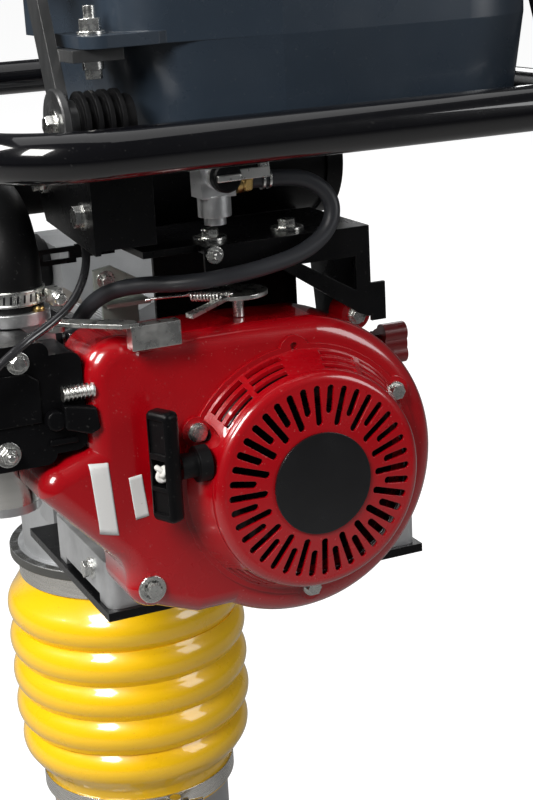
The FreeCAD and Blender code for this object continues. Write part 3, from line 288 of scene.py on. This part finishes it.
FINISH = {
    "red": surface("red_paint", (0.38, 0.0008, 0.005), 0.24, coat=1.0, coat_rough=0.035, tint=0.06,
                   grain=700, bump=0.05, spots=(0.45, 0.08, 0.08), patch=9),
    "yellow": surface("yellow_rubber", (1.0, 0.575, 0.001), 0.30, coat=1.0, coat_rough=0.05, tint=0.03,
                      grain=500, bump=0.06, patch=8, spots=(0.75, 0.36, 0.01), round_edges=False),
    "tube": surface("tube_gloss", (0.003, 0.003, 0.004), 0.22, coat=1.0, coat_rough=0.03, tint=0.2,
                    grain=600, bump=0.05, patch=7, spots=(0.03, 0.03, 0.03), round_edges=False, spec=0.14),
    "powder": surface("black_powder", (0.0035, 0.0035, 0.004), 0.30, coat=0.25, coat_rough=0.25, tint=0.2,
                      grain=1500, bump=0.22, edge=(0.09, 0.09, 0.088), spots=(0.03, 0.028, 0.026), spec=0.14),
    "tank": surface("tank_plastic", (0.022, 0.032, 0.046), 0.30, coat=0.25, coat_rough=0.16, tint=0.12,
                    grain=800, bump=0.10, patch=6, spots=(0.05, 0.06, 0.07)),
    "rubber": surface("black_rubber", (0.005, 0.005, 0.0055), 0.48, tint=0.2, grain=1200, bump=0.18,
                      spots=(0.04, 0.04, 0.038), spec=0.14),
    "hose": surface("hose_rubber", (0.034, 0.036, 0.042), 0.42, tint=0.12, grain=900, bump=0.10,
                    round_edges=False),
    "plastic": surface("black_plastic", (0.003, 0.003, 0.0035), 0.34, tint=0.2, grain=1300, bump=0.20,
                       edge=(0.05, 0.05, 0.05), spots=(0.04, 0.04, 0.038), spec=0.14),
    "bar": surface("worn_black", (0.030, 0.031, 0.032), 0.36, coat=0.4, coat_rough=0.2, tint=0.35,
                   grain=1200, bump=0.2, stretch=(1, 1, 0.3), patch=60, edge=(0.25, 0.25, 0.24)),
    "pale": surface("pale_plate", (0.50, 0.54, 0.49), 0.34, metal=0.35, tint=0.08, grain=700, bump=0.1,
                    patch=40, edge=(0.8, 0.82, 0.78)),
    "zinc": surface("zinc_plate", (0.86, 0.86, 0.83), 0.30, metal=1.0, tint=0.10, grain=700, bump=0.12,
                    rough_spread=0.10, patch=40, edge=(0.95, 0.95, 0.92)),
    "bolt": surface("zinc_bolt", (0.84, 0.84, 0.81), 0.27, metal=1.0, tint=0.16, grain=900, bump=0.15,
                    rough_spread=0.10, patch=90, edge=(0.95, 0.95, 0.92), edge_size=0.0005),
    "cast": surface("cast_aluminium", (0.66, 0.67, 0.68), 0.46, metal=0.85, tint=0.12, grain=800,
                    bump=0.55, rough_spread=0.10, patch=30, edge=(0.8, 0.8, 0.8)),
    "case": surface("case_paint", (0.42, 0.43, 0.44), 0.42, metal=0.55, tint=0.10, grain=700, bump=0.5,
                    patch=20, edge=(0.6, 0.6, 0.6)),
    "diecast": surface("die_cast", (0.78, 0.79, 0.80), 0.34, metal=0.95, tint=0.10, grain=900, bump=0.3,
                       patch=50, edge=(0.9, 0.9, 0.9)),
    "stainless": surface("stainless", (0.72, 0.70, 0.66), 0.26, metal=1.0, tint=0.10, grain=120,
                         bump=0.10, stretch=(1, 1, 14), patch=20, rough_spread=0.08),
    "steel": surface("machined_steel", (0.50, 0.50, 0.50), 0.28, metal=1.0, tint=0.12, grain=140,
                     bump=0.12, stretch=(1, 1, 12), patch=20),
    "leg": surface("grey_paint", (0.30, 0.31, 0.32), 0.38, coat=0.3, coat_rough=0.2, tint=0.08,
                   grain=900, bump=0.2, edge=(0.5, 0.5, 0.5), spots=(0.22, 0.2, 0.18)),
    "flange": surface("flange_grey", (0.085, 0.085, 0.08), 0.45, metal=0.4, tint=0.15, grain=800,
                      bump=0.4, edge=(0.3, 0.3, 0.29)),
    "sole": surface("sole_steel", (0.30, 0.29, 0.28), 0.42, metal=0.9, tint=0.25, grain=300, bump=0.4,
                    patch=22, spots=(0.16, 0.10, 0.06), edge=(0.75, 0.74, 0.72)),
    "spring": surface("spring_steel", (0.10, 0.10, 0.105), 0.35, metal=0.8, tint=0.2, grain=700, bump=0.2),
    "disc": surface("black_disc", (0.008, 0.008, 0.009), 0.22, coat=0.6, coat_rough=0.08, tint=0.2,
                    grain=900, bump=0.04),
    "knob": surface("knob_red", (0.20, 0.008, 0.010), 0.34, coat=0.2, coat_rough=0.2, tint=0.1,
                    grain=1200, bump=0.1),
    "muffler": surface("muffler_steel", (0.30, 0.27, 0.24), 0.42, metal=0.9, tint=0.2, grain=500,
                       bump=0.3, patch=18, spots=(0.15, 0.08, 0.04)),
    "sheath": surface("cable_sheath", (0.020, 0.020, 0.022), 0.26, coat=1.0, coat_rough=0.08, tint=0.15,
                      grain=900, bump=0.08, round_edges=False),
    "rope": surface("rope_white", (0.72, 0.71, 0.68), 0.75, tint=0.12, grain=1400, bump=0.9,
                    round_edges=False),
    "brass": surface("brass", (0.62, 0.42, 0.16), 0.30, metal=1.0, tint=0.12, grain=900, bump=0.12,
                     patch=70, edge=(0.8, 0.6, 0.3)),
    "polished": surface("polished_steel", (0.66, 0.65, 0.62), 0.16, metal=1.0, tint=0.06, grain=260,
                        bump=0.05, stretch=(1, 1, 8), patch=25, rough_spread=0.05),
    "sticker": surface("sticker_film", (0.80, 0.80, 0.79), 0.35, coat=0.3, coat_rough=0.1, tint=0.03,
                       grain=900, bump=0.04, spots=(0.6, 0.59, 0.57), round_edges=False),
    "friction": surface("friction", (0.06, 0.05, 0.045), 0.8, tint=0.25, grain=700, bump=0.6),
    "wood": surface("wood", (0.30, 0.17, 0.075), 0.5, tint=0.3, grain=160, bump=0.35,
                    stretch=(1, 1, 16), patch=6, edge=(0.42, 0.30, 0.18)),
}
CAD_FINISH = {
    "red": ["fan_cover", "recoil_cover"],
    "yellow": ["bellows"],
    "tube": ["handle_frame"],
    "powder": ["base_plate", "tray_beam", "rear_bracket", "handle_arms", "rocker_cover"],
    "bar": ["lifting_arms"],
    "pale": ["control_bracket"],
    "tank": ["fuel_tank"],
    "rubber": ["rope_guide", "shock_mounts", "rubber_block", "intake_hose"],
    "hose": ["fuel_hose"],
    "plastic": ["carb_cover", "air_cleaner", "tank_cap", "starter_grip", "throttle_mount",
                "throttle_lever", "recoil_pulley"],
    "zinc": ["governor_arm", "choke_lever", "valve_lever"],
    "bolt": ["foot_bolts", "engine_bolts", "handle_bolts", "cover_bolts", "recoil_bolts"],
    "cast": ["engine_block", "cylinder_head", "flywheel"],
    "case": ["crankcase", "crankcase_cover", "clutch_housing"],
    "diecast": ["carburettor", "fuel_valve"],
    "stainless": ["lower_clamp", "upper_clamp"],
    "steel": ["spring_cylinder", "guide_tube", "piston", "piston_rod", "crank_gear", "connecting_rod",
              "clutch_drum", "crankshaft", "lifting_roller"],
    "leg": ["leg_skirt"],
    "sole": ["sole_plate"],
    "spring": ["rammer_springs"],
    "disc": ["centre_disc", "throttle_cable"],
    "knob": ["stop_switch"],
    "muffler": ["muffler"],
    "friction": ["clutch_shoes"],
    "wood": ["foot_block"],
}
for key, names in CAD_FINISH.items():
    paint(names, FINISH[key])


# ------------------------------------------------------------------ building blocks

LEG = Matrix.Rotation(-LEAN, 4, "X") @ Matrix.Scale(0.001, 4)


def lathe(mesh, base, axis, profile, steps=64, closed=False):
    """Turn (along, radius) pairs about an axis through a base point."""
    base = Vector(base)
    side = axis.orthogonal().normalized()
    other = axis.cross(side)
    rings = []
    for along, radius in profile:
        centre = base + axis * along
        if radius == 0:
            rings.append([mesh.verts.new(centre)])
            continue
        turns = [2 * math.pi * step / steps for step in range(steps)]
        rings.append([
            mesh.verts.new(centre + (side * math.cos(a) + other * math.sin(a)) * radius) for a in turns
        ])
    if closed:
        rings.append(rings[0])
    for first, second in zip(rings, rings[1:]):
        for step in range(steps):
            after = (step + 1) % steps
            if len(first) == 1:
                mesh.faces.new((first[0], second[after], second[step]))
            elif len(second) == 1:
                mesh.faces.new((first[step], first[after], second[0]))
            else:
                mesh.faces.new((first[step], first[after], second[after], second[step]))


def prism(mesh, corners, depth):
    """A flat outline with a thickness."""
    near = [mesh.verts.new(Vector(corner)) for corner in corners]
    far = [mesh.verts.new(Vector(corner) + Vector(depth)) for corner in corners]
    mesh.faces.new(near)
    mesh.faces.new(far)
    for step in range(len(near)):
        after = (step + 1) % len(near)
        mesh.faces.new((near[step], near[after], far[after], far[step]))


def cuboid(mesh, low, high):
    """A box between two corners."""
    (x0, y0, z0), (x1, y1, z1) = low, high
    prism(mesh, [(x0, y0, z0), (x1, y0, z0), (x1, y1, z0), (x0, y1, z0)], (0, 0, z1 - z0))


def hexagon(mesh, base, axis, across, height):
    """A hexagon head with turned corners."""
    radius = across / math.sqrt(3)
    lathe(mesh, base, axis, [(0, 0), (0, radius), (height * 0.82, radius), (height, radius * 0.88),
                             (height, 0)], 6)


def curve_mesh(points, radius, cyclic=False, place=ENG):
    """A round cord through control points, as a mesh in the row frame."""
    curve = bpy.data.curves.new("cord", "CURVE")
    curve.dimensions = "3D"
    spline = curve.splines.new("NURBS")
    spline.points.add(len(points) - 1)
    for point, where in zip(spline.points, points):
        point.co = (*(place @ Vector(where)), 1.0)
    spline.order_u = 3
    spline.use_endpoint_u = not cyclic
    spline.use_cyclic_u = cyclic
    curve.bevel_depth = radius * 0.001
    curve.bevel_resolution = 7
    curve.resolution_u = 14
    curve.use_fill_caps = True
    shape = bpy.data.objects.new("cord", curve)
    bpy.context.scene.collection.objects.link(shape)
    bpy.context.view_layer.update()
    mesh = bpy.data.meshes.new_from_object(shape.evaluated_get(bpy.context.evaluated_depsgraph_get()))
    bpy.data.objects.remove(shape)
    bpy.data.curves.remove(curve)
    return mesh


def piece(name, shape, finish, body=None, place=ENG, bevel=0.0):
    """A bmesh in millimetres, or a finished mesh in the row frame, becomes a piece."""
    if isinstance(shape, bmesh.types.BMesh):
        bmesh.ops.recalc_face_normals(shape, faces=shape.faces)
        mesh = bpy.data.meshes.new(name)
        shape.to_mesh(mesh)
        shape.free()
        mesh.transform(place)
    else:
        mesh = shape
    obj = bpy.data.objects.new(name, mesh)
    bpy.context.scene.collection.objects.link(obj)
    mesh.materials.clear()
    mesh.materials.append(finish)
    for face in mesh.polygons:
        face.use_smooth = True
    mesh.set_sharp_from_angle(angle=math.radians(38))
    if bevel:
        soft = obj.modifiers.new("soft_edges", "BEVEL")
        soft.width = bevel * 0.001
        soft.segments = 3
        soft.limit_method = "ANGLE"
        soft.angle_limit = math.radians(38)
    if body:
        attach(obj, body)
    return obj


def carve(obj, place, *boxes):
    """Cut boxes, given in a placed frame's millimetres, out of a piece and keep the result as its mesh."""
    cutters = []
    for low, high in boxes:
        shape = bmesh.new()
        cuboid(shape, low, high)
        bmesh.ops.recalc_face_normals(shape, faces=shape.faces)
        mesh = bpy.data.meshes.new("cutter")
        shape.to_mesh(mesh)
        shape.free()
        mesh.transform(place)
        cutter = bpy.data.objects.new("cutter", mesh)
        bpy.context.scene.collection.objects.link(cutter)
        bite = obj.modifiers.new("bite", "BOOLEAN")
        bite.object = cutter
        bite.operation = "DIFFERENCE"
        bite.solver = "EXACT"
        cutters.append(cutter)
    bpy.context.view_layer.update()
    mesh = bpy.data.meshes.new_from_object(obj.evaluated_get(bpy.context.evaluated_depsgraph_get()))
    obj.modifiers.clear()
    obj.data = mesh
    mesh.set_sharp_from_angle(angle=math.radians(38))
    for cutter in cutters:
        bpy.data.objects.remove(cutter)


def sticker(name, corners, node_name, direction, finish, body):
    """A thin blank sticker pressed onto a CAD node along a direction."""
    bpy.context.view_layer.update()
    target = BVHTree.FromObject(NODES[node_name], bpy.context.evaluated_depsgraph_get())
    towards = (ENG.to_3x3() @ direction).normalized()
    first, second, third, fourth = [Vector(corner) for corner in corners]
    count = 12
    film = 0.00022
    lift = 0.00028
    reach = 120
    mesh = bmesh.new()
    grid = []
    for row in range(count + 1):
        across = row / count
        left = first.lerp(fourth, across)
        right = second.lerp(third, across)
        line = []
        for column in range(count + 1):
            start = ENG @ (left.lerp(right, column / count) - direction * reach)
            hit = target.ray_cast(start, towards)[0]
            line.append(mesh.verts.new(hit - towards * lift))
        grid.append(line)
    for row in range(count):
        for column in range(count):
            mesh.faces.new((
                grid[row][column], grid[row][column + 1], grid[row + 1][column + 1], grid[row + 1][column],
            ))
    obj = piece(name, mesh, finish, body, Matrix.Identity(4))
    skin = obj.modifiers.new("film", "SOLIDIFY")
    skin.thickness = film
    skin.offset = 0.0
    return obj


# ------------------------------------------------------------------ soft parts that cross a joint

def make_bellows():
    """The ribbed bellows, turned with rounded valleys, set in the leaned frame of the leg."""
    valley = 113.0
    rise = 10.5
    chord = 37.0
    folds = 5
    low = 252.0
    wall = 3.2
    arc = (chord ** 2 / 4 + rise ** 2) / (2 * rise)
    outside = [(210, 93.6), (210, 98.6), (211.2, 99.2), (239, 99.2), (243, 101)]
    for fold in range(folds):
        deep = {0: -3.0, folds - 1: -1.0}.get(fold, 0.0)
        for step in range(-9, 10):
            reach = step / 9 * chord / 2
            height = math.sqrt(arc ** 2 - reach ** 2) - (arc - rise)
            soft = math.hypot(height, 3.4) - 2.6
            outside.append((low + chord * (fold + 0.5) + reach, valley + deep + soft))
    outside += [(451, 103.4), (470, 103.4), (471, 102.6), (471, 98.8)]
    inside = [(along, radius - wall) for along, radius in outside[5:-4]]
    profile = outside + [(452, 98.4)] + inside[::-1] + [(240, 93.6)]
    mesh = bmesh.new()
    lathe(mesh, (0, 0, 0), Z, profile, 144, closed=True)
    obj = piece("bellows_skin", mesh, FINISH["yellow"], place=LEG)
    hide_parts("bellows")
    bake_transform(obj)


def make_cords():
    """The fuel hose and throttle cable bend between the machine and the handle."""
    hose = [
        (-18.7, 22, 214), (2, 22, 214), (26, 20, 211), (43, 16, 196), (40, 13, 175), (18, 10, 160),
        (-14, 9, 153), (-50, 11, 149), (-78, 22, 147), (-100, 42, 146), (-119, 61, 140), (-131, 75, 127),
        (-140, 80, 110), (-157.4, 80, 105),
    ]
    obj = piece("fuel_hose_skin", curve_mesh(hose, HOSE / 2), FINISH["hose"])
    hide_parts("fuel_hose")
    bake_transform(obj)
    cable = [
        (-200.6, 85, 246), (-184, 86, 248), (-165, 89, 252), (-147, 93, 250), (-134, 92, 236),
        (-128, 87, 210), (-128, 80, 186), (-132, 58, 170), (-143, 34, 158), (-159, 16, 145),
        (-179, 4, 136), (-200, -6, 129), (-223, -12, 116), (-241, -8, 98), (-254, 6, 80),
        (-256, 22, 66), (-243, 33, 58),
    ]
    obj = piece("throttle_cable_skin", curve_mesh(cable, CABLE / 2), FINISH["sheath"])
    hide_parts("throttle_cable")
    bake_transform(obj)


def make_starter():
    """The pull grip with its window, the knot in it, and the rope that draws out behind it."""
    turned = ENG @ Matrix.Translation((-107, -18, 26)) @ Matrix.Rotation(math.radians(25), 4, "Z")
    mesh = bmesh.new()
    cuboid(mesh, (-14, -11, -36.5), (0, 11, 44.5))
    grip = piece("starter_grip_shell", mesh, FINISH["plastic"], place=turned, bevel=4.6)
    grip.modifiers["soft_edges"].segments = 6
    carve(grip, turned, ((-18, -6.5, -10), (-7, 6.5, 10)), ((-18, -7.5, -30), (-12.2, 7.5, -13)),
          ((-18, -7.5, 14), (-12.2, 7.5, 39)))
    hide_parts("starter_grip")
    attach(grip, "grip")
    knot = [
        (-11.0 + 1.9 * math.sin(3 * turn), 1.7 * (math.sin(turn) + 2 * math.sin(2 * turn)),
         1.9 * (math.cos(turn) - 2 * math.cos(2 * turn)))
        for turn in [2 * math.pi * step / 24 for step in range(24)]
    ]
    piece("rope_knot", curve_mesh(knot, 1.9, True, turned), FINISH["rope"], "grip")
    strand = [(-108 + 2.0 * step, -18, 26) for step in range(13)]
    rope = piece("starter_rope", curve_mesh(strand, ROPE / 2), FINISH["rope"])
    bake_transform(rope)


# ------------------------------------------------------------------ fittings

def make_fittings():
    """The small parts of the engine: clamp, union, screws, float bowl, clips, knob, mouldings, washers."""
    worm = bmesh.new()
    lathe(worm, (-184, 78, 139), Z, [
        (0, 22.2), (0, 23.6), (1.2, 23.9), (1.6, 23.3), (9.4, 23.3), (9.8, 23.9), (11, 23.6), (11, 22.2),
    ], 96)
    piece("worm_band", worm, FINISH["zinc"], "machine")
    slots = bmesh.new()
    for step in range(30):
        angle = 2 * math.pi * step / 30
        spoke = Vector((math.cos(angle), math.sin(angle), 0))
        along = Vector((-spoke.y, spoke.x, 0))
        start = Vector((-184, 78, 141.6)) + spoke * 23.0
        prism(slots, [start - along * 0.75, start + along * 0.75, start + along * 1.4 + Z * 5.8,
                      start - along * 0.1 + Z * 5.8], spoke * 0.42)
    piece("worm_slots", slots, FINISH["disc"], "machine")
    housing = bmesh.new()
    cuboid(housing, (-164.5, 44, 139), (-156, 61, 150.5))
    lathe(housing, (-160.2, 40.5, 144.7), Y, [(0, 0), (0, 4.6), (26, 4.6), (26, 0)], 24)
    hexagon(housing, (-160.2, 40.5, 144.7), -Y, 8.0, 5.0)
    piece("worm_housing", housing, FINISH["zinc"], "machine", bevel=0.6)

    union = bmesh.new()
    lathe(union, (-31, 22, 214), X, [
        (0, 0), (0, 8.2), (4, 8.2), (4.6, 7.0), (7, 7.0), (7, 4.6), (14, 4.6), (14, 0),
    ], 32)
    hexagon(union, (-25, 22, 214), X, 15, 6)
    piece("valve_union", union, FINISH["brass"], "handle", bevel=0.4)

    screw = bmesh.new()
    lathe(screw, (-171, 58, 134.3), Z, [(0, 0), (0, 4.4), (2.4, 4.2), (3.2, 3.0), (3.2, 0)], 32)
    piece("flange_screw", screw, FINISH["brass"], "machine", bevel=0.2)
    # Painted shade: a thin black strip on the screw head stands in for the shade in its slot.
    slot_shade = bmesh.new()
    cuboid(slot_shade, (-174.8, 57.4, 137.3), (-167.2, 58.6, 137.7))
    piece("flange_screw_slot_shade", slot_shade, FINISH["disc"], "machine")

    ribbed = bmesh.new()
    crest, root, pitch = 5.4, 4.4, 3.0
    profile = [(0, 0), (0, crest)]
    for turn in range(7):
        start = turn * pitch
        profile += [(start + 0.6, crest), (start + 1.2, root), (start + 2.2, root), (start + 2.8, crest)]
    profile += [(22.4, crest), (22.4, 0)]
    lathe(ribbed, (-175, 4.5, 86), X, profile, 40)
    piece("idle_screw", ribbed, FINISH["zinc"], "machine")

    lever = bmesh.new()
    prism(lever, [(-176, -2, 79), (-153, -2, 75), (-151, -2, 59), (-158, -2, 56), (-176, -2, 62)], (0, 9, 0))
    piece("choke_tab", lever, FINISH["plastic"], "machine", bevel=1.6)

    stud = bmesh.new()
    hexagon(stud, (-216, 8.2, 49), -Y, 11, 6.5)
    lathe(stud, (-216, 8.2, 49), -Y, [(0, 0), (0, 9), (1.5, 9), (1.5, 0)], 32)
    lathe(stud, (-216, 8.2, 49), -Y, [(0, 0), (0, 3.1), (10.5, 3.1), (11.5, 2.3), (11.5, 0)], 24)
    hexagon(stud, (-203, 8.2, 112), -Y, 10, 5)
    lathe(stud, (-203, 8.2, 112), -Y, [(0, 0), (0, 8), (1.4, 8), (1.4, 0)], 32)
    piece("cover_nuts", stud, FINISH["bolt"], "machine", bevel=0.3)

    bowl = bmesh.new()
    lathe(bowl, (-202, 87, 30), -Z, [
        (0, 0), (0, 27.6), (3.4, 27.6), (4.0, 26.6), (38, 26.4), (43, 25.0), (46, 20.5), (46.6, 12),
        (46.6, 6), (44.5, 5.4), (44.5, 0),
    ], 96)
    piece("float_bowl", bowl, FINISH["polished"], "machine")
    drain = bmesh.new()
    hexagon(drain, (-202, 87, -15.5), -Z, 10, 5.5)
    piece("drain_bolt", drain, FINISH["bolt"], "machine", bevel=0.3)

    clips = bmesh.new()
    for place in ((-10, 22, 214), (-150, 80, 106.5)):
        for shift in (0.0, 5.0):
            lathe(clips, Vector(place) + X * shift, X, [
                (-0.9, 6.3), (-0.9, 7.5), (0.9, 7.5), (0.9, 6.3),
            ], 40, closed=True)
        cuboid(clips, Vector(place) + Vector((-1, -2, 6.5)), Vector(place) + Vector((6, -0.6, 12)))
        cuboid(clips, Vector(place) + Vector((-1, 0.8, 6.5)), Vector(place) + Vector((6, 2.2, 12)))
    piece("hose_clips", clips, FINISH["bolt"], "machine")

    knob = bmesh.new()
    lathe(knob, (-47, 1.5, 222), -Y, [(0, 0), (0, 10.6), (1.5, 11), (7, 10.6), (8.4, 9.2), (8.4, 0)], 48)
    piece("valve_knob", knob, FINISH["plastic"], "valve")
    grip = bmesh.new()
    cuboid(grip, (-56, -9.6, 219.6), (-38, -6.6, 224.4))
    piece("valve_knob_bar", grip, FINISH["zinc"], "valve", bevel=0.9)

    moulding = bmesh.new()
    prism(moulding, [(-236, 8.4, 68), (-190, 8.4, 68), (-190, 8.4, 98), (-198, 8.4, 104), (-236, 8.4, 104)],
          (0, -2.4, 0))
    cuboid(moulding, (-186, 5.6, 66), (-166, 8.4, 72))
    cuboid(moulding, (-186, 5.6, 50), (-166, 8.4, 54))
    lathe(moulding, (-181, 8.4, 68.5), -Y, [(0, 0), (0, 7.5), (6.5, 7.2), (7.5, 6.2), (7.5, 0)], 40)
    piece("cover_mouldings", moulding, FINISH["plastic"], "machine", bevel=0.8)

    washers = bmesh.new()
    for x in (-40, 22):
        lathe(washers, (x, 52, 170.0), Z, [(0, 0), (0, 12.4), (1.8, 12.4), (2.2, 11.8), (2.2, 0)], 48)
    lathe(washers, (-49, 26, 164), -Y, [
        (0, 0), (0, 6.4), (5, 6.4), (5, 3.4), (11, 3.4), (11.6, 2.8), (11.6, 0),
    ], 32)
    piece("beam_washers", washers, FINISH["bolt"], "machine", bevel=0.2)


def make_governor():
    """The governor's coil spring and its thin rod to the carburettor."""
    turns = 9
    coil = 3.2
    tail = 7
    start = Vector((-69, 23, 136.6))
    end = Vector((-52, 10, 136.6))
    axis = (end - start).normalized()
    side = axis.orthogonal().normalized()
    other = axis.cross(side)
    points = [start - axis * tail]
    for step in range(turns * 8 + 1):
        angle = 2 * math.pi * step / 8
        points.append(
            start.lerp(end, step / (turns * 8)) + (side * math.cos(angle) + other * math.sin(angle)) * coil
        )
    points.append(end + axis * tail)
    piece("governor_spring", curve_mesh(points, 0.75), FINISH["bolt"], "machine")
    rod = [(-96, 44, 133.6), (-90, 40, 135.2), (-60, 30, 135.6), (-42, 24, 135.6), (-38, 20, 134.6)]
    piece("governor_rod", curve_mesh(rod, 1.1), FINISH["bolt"], "machine")


def make_castings():
    """The flange ring on the crankcase, the studs on the engine's feet, the cover's screen, and a black liner
    inside the cover that paints shade behind its louvres.
    """
    ring = bmesh.new()
    lathe(ring, (0, 0, 473.7), Z, [
        (0, 99.5), (0, 112.0), (0.5, 112.5), (8.4, 112.5), (9.2, 111.8), (9.2, 104), (9.1, 60),
    ], 128)
    piece("flange_ring", ring, FINISH["flange"], "machine", LEG)
    studs = bmesh.new()
    for x, y in ((-110, 90), (-74, 82), (110, 90)):
        lathe(studs, (x, y, -72), Z, [(0, 0), (0, 10.5), (2.0, 10.5), (2.0, 0)], 40)
        hexagon(studs, (x, y, -70), Z, 13, 8)
        lathe(studs, (x, y, -62), Z, [(0, 0), (0, 3.9), (9, 3.9), (10, 3.0), (10, 0)], 24)
    lathe(studs, (-123, -0.2, -68), -Y, [(0, 0), (0, 10.5), (1.8, 10.2), (1.8, 0)], 40)
    piece("foot_studs", studs, FINISH["bolt"], "machine", bevel=0.3)
    screen = bmesh.new()
    lathe(screen, (0, 9.5, 0), Y, [(0, 0), (0, 86), (1.2, 86), (1.2, 0)], 96)
    piece("air_screen", screen, FINISH["disc"], "machine")
    # Painted shade: a thin black shell just inside the starter cover's dome, so the louvre slots show dark
    # instead of the cover's red inside.
    shade_liner = bmesh.new()
    lathe(shade_liner, (0, 0, 0), -Y, [
        (1.0, 85.5), (25, 77.0), (30.5, 70.5), (30.0, 69.5), (24.5, 75.8), (1.0, 84.3),
    ], 96, closed=True)
    piece("louvre_shade_liner", shade_liner, FINISH["disc"], "machine")


def make_eye():
    """The eye plate and bolt at the foot of each lifting arm, and the pale plate's bolts."""
    for name, x, way in (("eye_left", -168.2, -1), ("eye_right", 219.2, 1)):
        eye = bmesh.new()
        axis = X * way
        lathe(eye, (x, -30, 272), axis, [
            (0, 7.5), (0, 22), (1.0, 23), (5.0, 23), (6.0, 22), (6.0, 16), (4.4, 14.5), (4.4, 7.5),
        ], 64, closed=True)
        piece(name, eye, FINISH["bar"], "handle")
        bolt = bmesh.new()
        lathe(bolt, Vector((x, -30, 272)) + axis * 4.4, axis, [(0, 0), (0, 10), (1.6, 10), (1.6, 0)], 40)
        hexagon(bolt, Vector((x, -30, 272)) + axis * 6, axis, 12, 6)
        piece(name + "_bolt", bolt, FINISH["bolt"], "handle", bevel=0.3)
    screws = bmesh.new()
    for x, z in ((-109, 142), (-94, 134)):
        lathe(screws, (x, 92, z), -Y, [(0, 0), (0, 7.0), (1.2, 7.0), (1.2, 0)], 40)
        hexagon(screws, (x, 90.8, z), -Y, 8, 4.5)
    piece("plate_screws", screws, FINISH["bolt"], "machine", bevel=0.3)


def make_stickers():
    """Two blank stickers on the fan cover."""
    sticker("sticker_large", [(-162, 0, 34), (-148, 0, 33), (-144.5, 0, -22), (-158, 0, -19)], "fan_cover",
            Y, FINISH["sticker"], "machine")
    sticker("sticker_small", [(-134, 0, 19), (-124, 0, 20), (-121, 0, -12), (-131, 0, -13)], "fan_cover",
            Y, FINISH["sticker"], "machine")


make_bellows()
make_cords()
make_starter()
make_fittings()
make_governor()
make_castings()
make_eye()
make_stickers()
